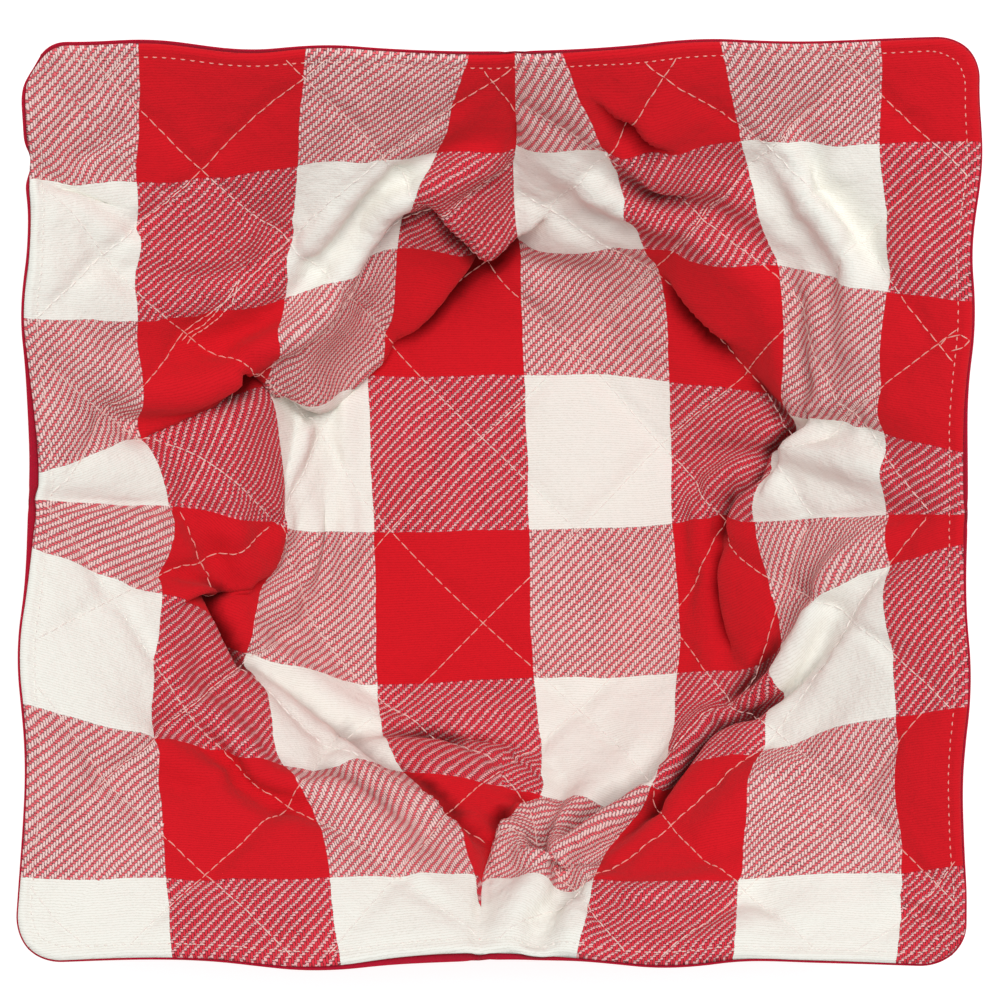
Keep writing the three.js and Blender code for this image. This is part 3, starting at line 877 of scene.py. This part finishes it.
# Points that get any painted crease shade.
print("points at all tucked in", int((painted_crease_shade > 0).sum()), "of", painted_crease_shade.size)

# %% [markdown]
# ## Shader maths as Python
# A material's pattern is a formula. This small class wraps a node's output, so that sums,
# products and comparisons written in Python add the Math nodes that work them out.

# %% Sockets that can be calculated with
SHADER = "Principled BSDF"
SHEEN_ROUGHNESS = 0.6
SPECULAR = 0.03
FULL_WHITE = (1.0, 1.0, 1.0, 1.0)
CURVE_START = 0.04045
CURVE_SLOPE = 12.92
CURVE_OFFSET = 0.055
CURVE_POWER = 2.4


def operator(operation, swapped=False):
    """A method for Term that adds a Math node, its two terms swapped where the operator needs it."""
    def method(self, *others):
        terms = (*others, self) if swapped else (self, *others)
        return self.node("ShaderNodeMath", {"operation": operation}, dict(enumerate(terms)))

    return method


class Term:
    """A value in a node tree. Operators on it add Math nodes."""

    def __init__(self, tree, socket):
        self.tree = tree
        self.socket = socket

    def node(self, kind, settings=None, inputs=None, output=0):
        """Adds any node: its settings first, then the values or links of its sockets."""
        made = self.tree.nodes.new(kind)
        for name, value in (settings or {}).items():
            setattr(made, name, value)
        for key, value in (inputs or {}).items():
            if isinstance(value, Term):
                self.tree.links.new(value.socket, made.inputs[key])
            else:
                made.inputs[key].default_value = value
        return Term(self.tree, made.outputs[output])

    __add__ = __radd__ = operator("ADD")
    __sub__ = operator("SUBTRACT")
    __rsub__ = operator("SUBTRACT", swapped=True)
    __mul__ = __rmul__ = operator("MULTIPLY")
    __mod__ = operator("FLOORED_MODULO")
    __lt__ = operator("LESS_THAN")
    floor = operator("FLOOR")
    absolute = operator("ABSOLUTE")
    power = operator("POWER")

    def attribute(self, name):
        """The value that each point carries under a name, from any Term of the tree."""
        return self.node("ShaderNodeAttribute", {"attribute_name": name}, output=2)

    def clamped(self):
        """This, kept between 0 and 1."""
        return self.node("ShaderNodeClamp", None, {0: self})

    def mix(self, first, second):
        """first where this is 0 and second where it is 1, for colours."""
        inputs = {0: self, 6: first, 7: second}
        return self.node("ShaderNodeMix", {"data_type": "RGBA"}, inputs, output=2)

    def times_colour(self, shade):
        """This colour multiplied by another."""
        settings = {"data_type": "RGBA", "blend_type": "MULTIPLY"}
        return self.node("ShaderNodeMix", settings, {0: 1.0, 6: self, 7: shade}, output=2)

    def noise(self, scale, detail, output=0):
        """Cloudy noise read at this place: output 0 is one value and output 1 is three."""
        inputs = {"Vector": self, "Scale": scale, "Detail": detail}
        return self.node("ShaderNodeTexNoise", None, inputs, output)

    def moved(self, noise, reach):
        """This place moved by three values of noise, which lie round a half, times a reach."""
        halves = {0: noise, 1: (0.5, 0.5, 0.5)}
        centred = self.node("ShaderNodeVectorMath", {"operation": "SUBTRACT"}, halves)
        shift = {0: centred, 1: (reach, reach, reach), 2: self}
        return self.node("ShaderNodeVectorMath", {"operation": "MULTIPLY_ADD"}, shift)

    def yarn_counts(self, yarn):
        """How many yarns across and how many up this place lies."""
        parts = self.node("ShaderNodeSeparateXYZ", None, {0: self}).socket.node
        return [Term(self.tree, parts.outputs[axis]) * (1 / yarn) for axis in (0, 1)]

    def off_middle(self, number):
        """0 along the middle of the yarn with this number and 1 along its edges."""
        return (self - number - 0.5).absolute() * 2


def linear(red, green, blue):
    """A colour as seen, 0 to 255, turned into the light it stands for, by the usual screen curve."""
    parts = np.array([red, green, blue]) / 255
    curved = ((parts + CURVE_OFFSET) / (1 + CURVE_OFFSET)) ** CURVE_POWER
    light = np.where(parts <= CURVE_START, parts / CURVE_SLOPE, curved)
    return (*[float(part) for part in light], 1.0)


def new_material(name, roughness, sheen):
    """A material with its shader's constant sockets set, and a Term to start formulas from."""
    material = bpy.data.materials.new(name)
    material.use_nodes = True
    sockets = material.node_tree.nodes[SHADER].inputs
    sockets["Roughness"].default_value = roughness
    sockets["Sheen Weight"].default_value = sheen
    sockets["Sheen Roughness"].default_value = SHEEN_ROUGHNESS
    sockets["Specular IOR Level"].default_value = SPECULAR
    return material, Term(material.node_tree, None)


def finish_material(colour, height, distance):
    """Links the colour, and the height through a Bump node into the normal."""
    inputs = {"Height": height, "Strength": 1.0, "Distance": distance}
    bump = colour.node("ShaderNodeBump", None, inputs)
    sockets = colour.tree.nodes[SHADER].inputs
    colour.tree.links.new(colour.socket, sockets["Base Color"])
    colour.tree.links.new(bump.socket, sockets["Normal"])


# %% [markdown]
# ## The flannel check
# Warp and weft are each striped red and white, and the weave is a twill: each yarn passes over two
# and under two, one step further on in every row. So squares are solid where both yarns agree, and
# show slanting lines where they differ. The formula asks, for each crossing, which yarn lies on
# top and which stripe that yarn belongs to.

# %% Flannel material
YARN = 0.53 * MM
FLOAT_LENGTH = 2.62
# Lit colours of the yarns, each with a darker colour that is painted shade at yarn edges and float ends,
# and also the random darker specks and patches.
RED = linear(219, 28, 39)
RED_SHADE_AND_MOTTLE = linear(200, 24, 34)
WHITE = linear(250, 249, 241)
WHITE_SHADE_AND_MOTTLE = linear(233, 230, 219)
RED_WARP = linear(232, 60, 75)
PALE_WEFT = linear(255, 190, 190)
RED_WARP_SHADE_AND_MOTTLE = linear(100, 24, 34)
PALE_WARP = linear(255, 218, 213)
RED_WEFT = linear(250, 112, 121)
PALE_WARP_SHADE_AND_MOTTLE = linear(112, 50, 56)
# Painted shade under overhanging folds: the colour the flannel is multiplied by there, and the share of it
# that white-warp squares get.
PAINTED_CREASE_SHADE = linear(130, 98, 94)
PALE_SHARE_OF_CREASE_SHADE = 0.4
TWILL_REPEAT = 4
FUZZ_SCALE = 2600.0
FUZZ_REACH = 0.45 * MM
DRIFT_SCALE = 90.0
DRIFT_REACH = 0.9 * MM
FLOAT_END = 6.0
SPECK_SCALE = 1300.0
PATCH_SCALE = 70.0
NAP_SCALE = 280.0
LIGHT_OF_ROUNDNESS = 1.4
LIGHT_OF_SPECKS = 0.8
LIGHT_OF_PATCHES = 0.5
LIGHT_LESS = 0.8
RELIEF_OF_PLAIN = 0.13
RELIEF_OF_MIXED = 0.55
RELIEF_OF_SPECKS = 0.8
RELIEF_OF_NAP = 3.0
FLANNEL_RELIEF = 0.16 * MM

flannel, start = new_material("check_flannel", roughness=0.95, sheen=0.04)
uv = start.node("ShaderNodeUVMap", {"uv_map": GRAIN})
fuzzy = uv.moved(uv.noise(FUZZ_SCALE, 2.0, output=1), FUZZ_REACH)
drifted = fuzzy.moved(uv.noise(DRIFT_SCALE, 1.0, output=1), DRIFT_REACH)
x, y = drifted.yarn_counts(YARN)
warp_number = x.floor()
weft_number = y.floor()
along_float = (warp_number - y) % TWILL_REPEAT
warp_up = along_float < FLOAT_LENGTH
warp_red = (warp_number * (YARN / SQUARE)).floor() % 2
weft_red = (weft_number * (YARN / SQUARE)).floor() % 2
top_red = warp_up * warp_red + (1 - warp_up) * weft_red
mixed = (warp_red - weft_red).absolute()
top = mixed * warp_up
# Painted shade between the yarns: each yarn is lit along its middle and darker towards its edges and the
# ends of its floats.
across = top * x.off_middle(warp_number) + (1 - top) * y.off_middle(weft_number)
roundness = 1 - across * across * across
ends = (along_float * (2 / FLOAT_LENGTH) - 1).absolute().power(FLOAT_END)
roundness = roundness * (1 - top * ends)
specks = uv.noise(SPECK_SCALE, 3.0)
# light mixes each yarn from its painted shade to its lit colour, with random specks and patches of mottle.
light = roundness * LIGHT_OF_ROUNDNESS + specks * LIGHT_OF_SPECKS
light = (light + uv.noise(PATCH_SCALE, 3.0) * LIGHT_OF_PATCHES - LIGHT_LESS).clamped()
red = mixed.mix(RED, warp_red.mix(RED_WEFT, RED_WARP))
white = mixed.mix(WHITE, warp_red.mix(PALE_WARP, PALE_WEFT))
mixed_shade_and_mottle = warp_red.mix(PALE_WARP_SHADE_AND_MOTTLE, RED_WARP_SHADE_AND_MOTTLE)
shade_and_mottle = mixed.mix(top_red.mix(WHITE_SHADE_AND_MOTTLE, RED_SHADE_AND_MOTTLE), mixed_shade_and_mottle)
checked = light.mix(shade_and_mottle, top_red.mix(white, red))
# Painted shade under overhanging folds, weaker where the warp is white.
painted_shade_share = start.attribute("painted_crease_shade") * (warp_red * (1 - PALE_SHARE_OF_CREASE_SHADE) + PALE_SHARE_OF_CREASE_SHADE)
checked = checked.times_colour(painted_shade_share.mix(FULL_WHITE, PAINTED_CREASE_SHADE))
relief = roundness * (mixed * RELIEF_OF_MIXED + RELIEF_OF_PLAIN) + specks * RELIEF_OF_SPECKS
relief = relief + uv.noise(NAP_SCALE, 4.0) * RELIEF_OF_NAP
finish_material(checked, relief, FLANNEL_RELIEF)
inner.data.materials.append(flannel)
print("yarns to a square:", round(SQUARE / YARN))

# %% [markdown]
# ## The crimson outside
# The outer panel is a plain cotton, finely woven and matt. Its weave is a fine grid of yarns.

# %% Crimson cotton
CRIMSON = linear(200, 10, 50)
CRIMSON_SHADE_AND_MOTTLE = linear(168, 6, 40)
FINE_YARN = 0.4 * MM
SHADE_SCALE = 700.0
LIGHT_OF_WEAVE = 0.5
LIGHT_OF_SHADE = 0.6
COTTON_RELIEF = 0.1 * MM

cotton, start = new_material("crimson_cotton", roughness=0.85, sheen=0.15)
uv = start.node("ShaderNodeUVMap", {"uv_map": GRAIN})
x, y = uv.yarn_counts(FINE_YARN)
over = (x.floor() + y.floor()) % 2
across = over * x.off_middle(x.floor()) + (1 - over) * y.off_middle(y.floor())
# Painted shade between the yarns: each yarn is mixed towards a darker crimson at its edges, and noise adds
# random darker mottle.
weave = 1 - across * across
light = (weave * LIGHT_OF_WEAVE + uv.noise(SHADE_SCALE, 3.0) * LIGHT_OF_SHADE).clamped()
finish_material(light.mix(CRIMSON_SHADE_AND_MOTTLE, CRIMSON), light, COTTON_RELIEF)
outer.data.materials.append(cotton)
print("fine yarns to a centimetre:", round(10 * MM / FINE_YARN))

# %% [markdown]
# ## Thread
# The quilting is sewn in long diagonal lines through the whole panel, and a shorter topstitch runs
# round the rim. Each stitch is a little spindle of thread that rises out of the cloth and dips back
# into it. All stitches of a kind are worked out at once, as rings of points along the surface.

# %% Stitches
THREAD = 0.29 * MM
THREAD_SIDES = 6
THREAD_RINGS = 5
THREAD_RISE = 0.4
THREAD_DIP = 0.65
THREAD_TAPER = 0.95
QUILT_PITCH = 2.6 * MM
QUILT_STITCH = 2.5 * MM
TOPSTITCH_PITCH = 1.8 * MM
TOPSTITCH = 1.0 * MM
EDGE_OF_QUILTING = 1.2 * MM
QUILT_STAGGER = 0.37
INVERSE_ROUNDS = 8


def square_place(u, v):
    """The inverse of rounded_place: a ring's radius and its start on the diagonal in turns."""
    far, near = ring_of(u, v), np.minimum(np.abs(u), np.abs(v))
    ring = far
    for _ in range(INVERSE_ROUNDS):
        radius = corner_radius(ring)
        start = (far + near) / 2 - np.sqrt(np.maximum(radius**2 / 2 - ((far - near) / 2) ** 2, 0))
        rounded = near > far - radius
        ring = np.where(rounded, start + radius, far)
    turn = np.arctan2(near - start, far - start) / (math.pi / 4)
    along = np.where(rounded, start + radius * turn, near)
    wide = np.abs(u) >= np.abs(v)
    return np.sign(u) * np.where(wide, ring, along), np.sign(v) * np.where(wide, along, ring)


def sewn_place(u, v):
    """The inverse of cut_place, and whether the place is cloth and not cut away in a dart."""
    flat = ring_of(u, v)
    opening = dart_half(flat)
    ring = np.maximum(flat - opening, TINY)
    lengthwise = np.abs(v) >= np.abs(u)
    aside = np.where(lengthwise, u, v)

    def shift(along):
        upright = dart_shift(flat, ring, along, v > 0, ("top", "bottom"))
        return np.where(lengthwise, upright, dart_shift(flat, ring, along, u > 0, ("right", "left")))

    right, left = aside - opening, aside + opening
    for _ in range(INVERSE_ROUNDS):
        right = aside - opening - shift(right)
        left = aside + opening - shift(left)
    along = np.where(right >= 0, right, left)
    cloth = (right >= 0) | (left <= 0)
    p = np.where(lengthwise, along, ring * np.sign(u))
    q = np.where(lengthwise, ring * np.sign(v), along)
    return p, q, cloth


def read_grid(grid, p, q):
    """A grid of the fine lines read between its points, as flat quarters of each cell."""
    numbers = np.arange(len(sewn_lines))
    a, b = np.interp(p, sewn_lines, numbers), np.interp(q, sewn_lines, numbers)
    i, j = np.minimum(a.astype(int), len(numbers) - 2), np.minimum(b.astype(int), len(numbers) - 2)
    s, t = (a - i)[..., None], (b - j)[..., None]
    low = grid[j, i] * (1 - s) + grid[j, i + 1] * s
    high = grid[j + 1, i] * (1 - s) + grid[j + 1, i + 1] * s
    return low * (1 - t) + high * t


def stitches(name, p, q, face, normals, material, slot):
    """Spindles of thread along the rows of points (p, q). The middle line arches as a parabola, and
    the rings' radius follows an ellipse that is cut off just before its ends."""
    t = np.linspace(-1, 1, THREAD_RINGS)
    up = unit(read_grid(normals, p, q))
    centre = read_grid(face, p, q) + up * (THREAD * (THREAD_RISE - THREAD_DIP * t**2))[None, :, None]
    side = np.cross(unit(np.gradient(centre, axis=1)), up)
    turn = np.arange(THREAD_SIDES) * 2 * math.pi / THREAD_SIDES
    radius = THREAD / 2 * np.sqrt(1 - (THREAD_TAPER * t) ** 2)
    out = side[:, :, None] * np.cos(turn)[:, None] + up[:, :, None] * np.sin(turn)[:, None]
    points = centre[:, :, None] + out * radius[:, None, None]
    first = np.arange(len(p))[:, None, None] * THREAD_RINGS * THREAD_SIDES
    ring = np.arange(THREAD_RINGS - 1)[None, :, None] * THREAD_SIDES
    here = np.arange(THREAD_SIDES)[None, None, :]
    there = (here + 1) % THREAD_SIDES
    walls = np.stack([first + ring + here, first + ring + there,
                      first + ring + THREAD_SIDES + there, first + ring + THREAD_SIDES + here], -1)
    last = (THREAD_RINGS - 1) * THREAD_SIDES
    # Two quads close each six-sided end.
    near_caps = np.array([[3, 2, 1, 0], [5, 4, 3, 0]])
    caps = np.concatenate([near_caps, last + near_caps[:, ::-1]])
    faces = np.concatenate([walls.reshape(-1, 4), (first.reshape(-1, 1, 1) + caps).reshape(-1, 4)])
    made = mesh_object(name, points.reshape(-1, 3), faces)
    # How red the cloth under each stitch is, for the painted red light on the thread.
    squares = np.floor(grain(*flat_place(p, q)) / SQUARE) % 2
    over_red = np.repeat(squares.mean(-1).ravel(), THREAD_SIDES)
    point_attribute(made, "over_red", over_red)
    made.data.materials.append(material)
    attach(made, BODY)
    return made


print("quilting stitches to a centimetre:", round(10 * MM / QUILT_PITCH, 1))

# %% [markdown]
# ## Colours of the thread
# The inner thread is white. Where it lies over red cloth, red light from that cloth is painted into
# it as pink. Each point of a stitch says how red the square under it is. The outer thread is crimson.

# %% Thread materials
TINT_SCALE = 500.0
TWIST_SCALE = 6000.0
THREAD_RELIEF = 0.05 * MM
THREAD_ON_WHITE = (linear(246, 238, 230), linear(252, 247, 242))
THREAD_IN_PAINTED_RED_LIGHT = (linear(238, 150, 140), linear(250, 190, 178))
CRIMSON_THREAD = (linear(176, 8, 44), linear(212, 30, 66))


def thread_material(name, tints, tints_in_red_light):
    """Twisted thread between two tints, and over red squares between two others that hold painted red
    light.
    """
    material, start = new_material(name, roughness=0.6, sheen=0.1)
    place = start.node("ShaderNodeTexCoord", output=3)
    tint = place.noise(TINT_SCALE, 1.0)
    colour = start.attribute("over_red").mix(tint.mix(*tints), tint.mix(*tints_in_red_light))
    finish_material(colour, place.noise(TWIST_SCALE, 1.0), THREAD_RELIEF)
    return material


thread = thread_material("thread", THREAD_ON_WHITE, THREAD_IN_PAINTED_RED_LIGHT)
crimson_thread = thread_material("crimson_thread", CRIMSON_THREAD, CRIMSON_THREAD)
print("thread", round(THREAD / MM, 2), "mm thick")

# %% Quilting and topstitch
LOOSE_STITCH = 1.6 * MM
LOOSE_THREADS = [
    [(-75.2, 46.7), (-72.6, 51.5), (-70.2, 58.8), (-68.8, 64.0)],
    [(-74.6, 46.2), (-71.9, 51.9), (-69.4, 58.4), (-68.6, 64.4)],
    [(94.2, 37.0), (95.0, 38.4), (96.6, 38.5), (97.6, 37.0), (97.0, 35.6), (95.6, 35.4)],
]


def quilting_lines():
    """Rows of points along both diagonal families of the quilting, one row for each stitch."""
    reach = math.ceil(CUT / QUILT_SPACING)
    t = np.linspace(-0.5, 0.5, THREAD_RINGS) * QUILT_STITCH
    count = math.ceil(CUT / QUILT_PITCH)
    line, stitch = np.meshgrid(np.arange(-reach, reach + 1), np.arange(-count, count + 1))
    line, stitch = line.reshape(-1, 1), stitch.reshape(-1, 1)
    along = stitch * QUILT_PITCH + line * QUILT_PITCH * QUILT_STAGGER + t
    aside = line * QUILT_SPACING
    rows = []
    for sign in (1, -1):
        u = QUILT_CROSSING[0] + (aside - sign * along) / math.sqrt(2)
        v = QUILT_CROSSING[1] + (sign * aside + along) / math.sqrt(2)
        inside = (ring_of(u, v) < HALF_CUT).all(1)
        u, v = square_place(u[inside], v[inside])
        inside = (ring_of(u, v) < HALF_CUT - EDGE_OF_QUILTING).all(1)
        p, q, cloth = sewn_place(u[inside], v[inside])
        rows.append(np.stack([p[cloth.all(1)], q[cloth.all(1)]]))
    return np.concatenate(rows, 1)


def topstitch_ring():
    """Rows of points round the sewn square, a little inside its rim."""
    flat = HALF_CUT - TOPSTITCH_IN
    half = flat - dart_half(flat)
    count = round(2 * half / TOPSTITCH_PITCH)
    middle = (np.arange(count) + 0.5) / count * 2 * half - half
    along = middle[:, None] + np.linspace(-0.5, 0.5, THREAD_RINGS) * TOPSTITCH
    level = np.full_like(along, half)
    sides = [(along, level), (along, -level), (level, along), (-level, along)]
    return np.concatenate([np.stack(side) for side in sides], 1)


def loose_rows(path):
    """Rows of points end to end along a path of sewn places, for thread that lies on the cloth."""
    path = np.array(path) * MM
    distance = np.concatenate([[0], np.cumsum(np.hypot(*np.diff(path, axis=0).T))])
    count = math.ceil(distance[-1] / LOOSE_STITCH)
    at = (np.arange(count)[:, None] + np.linspace(0, 1, THREAD_RINGS)) / count * distance[-1]
    return np.stack([np.interp(at, distance, path[:, 0]), np.interp(at, distance, path[:, 1])])


inside = (inner_face, -outward_normals(inner_face), thread, "check_flannel")
outside = (outer_face, outward_normals(outer_face), crimson_thread, "crimson_cotton")
loose = np.concatenate([loose_rows(path) for path in LOOSE_THREADS], 1)
threads = [
    stitches("quilting_thread", *quilting_lines(), *inside),
    stitches("topstitch_thread", *topstitch_ring(), *inside),
    stitches("loose_thread", *loose, *inside),
]
outer_threads = [stitches("outer_topstitch_thread", *topstitch_ring(), *outside)]
print("stitch faces", [len(piece.data.polygons) for piece in threads + outer_threads])

# %% [markdown]
# ## Floor and light
# A pale floor that glows a little, an even white surrounding and one broad soft light from above,
# a little behind the cozy.

# %% Stage
FLOOR_REACH = 2.0
FLOOR_GREY = (0.6, 0.6, 0.6, 1.0)
FLOOR_GLOW = 0.72
SURROUNDING = 0.39
KEY_PLACE = (0.12, 0.27, 1.24)
KEY_SIZE = 0.8
KEY_POWER = 10.2


def floor_square():
    """A level square of matt grey that gives off some white light of its own."""
    mesh = bpy.data.meshes.new("floor")
    corners = [(x * FLOOR_REACH, y * FLOOR_REACH, 0) for x, y in ((-1, -1), (1, -1), (1, 1), (-1, 1))]
    mesh.from_pydata(corners, [], [(0, 1, 2, 3)])
    material, _ = new_material("floor", roughness=0.9, sheen=0.0)
    sockets = material.node_tree.nodes[SHADER].inputs
    sockets["Base Color"].default_value = FLOOR_GREY
    sockets["Emission Color"].default_value = FULL_WHITE
    sockets["Emission Strength"].default_value = FLOOR_GLOW
    mesh.materials.append(material)
    return add_object("floor", mesh)


def white_surrounding():
    """A world that shines evenly from all sides."""
    world = bpy.data.worlds.new("world")
    world.use_nodes = True
    background = world.node_tree.nodes["Background"]
    background.inputs["Color"].default_value = FULL_WHITE
    background.inputs["Strength"].default_value = SURROUNDING
    return world


def soft_light(name, place, size, power):
    """A square area light that points at the middle of the cozy."""
    data = bpy.data.lights.new(name, "AREA")
    data.size = size
    data.energy = power
    made = add_object(name, data)
    made.location = place
    away = -np.array(place)
    level = math.hypot(away[0], away[1])
    made.rotation_euler = (math.atan2(level, -away[2]), 0, math.atan2(away[1], away[0]) - math.pi / 2)


floor_square()
bpy.context.scene.world = white_surrounding()
soft_light("key", KEY_PLACE, KEY_SIZE, KEY_POWER)
bpy.context.scene.view_settings.view_transform = "Standard"
print("key light", KEY_SIZE, "m wide,", KEY_PLACE[2], "m up")
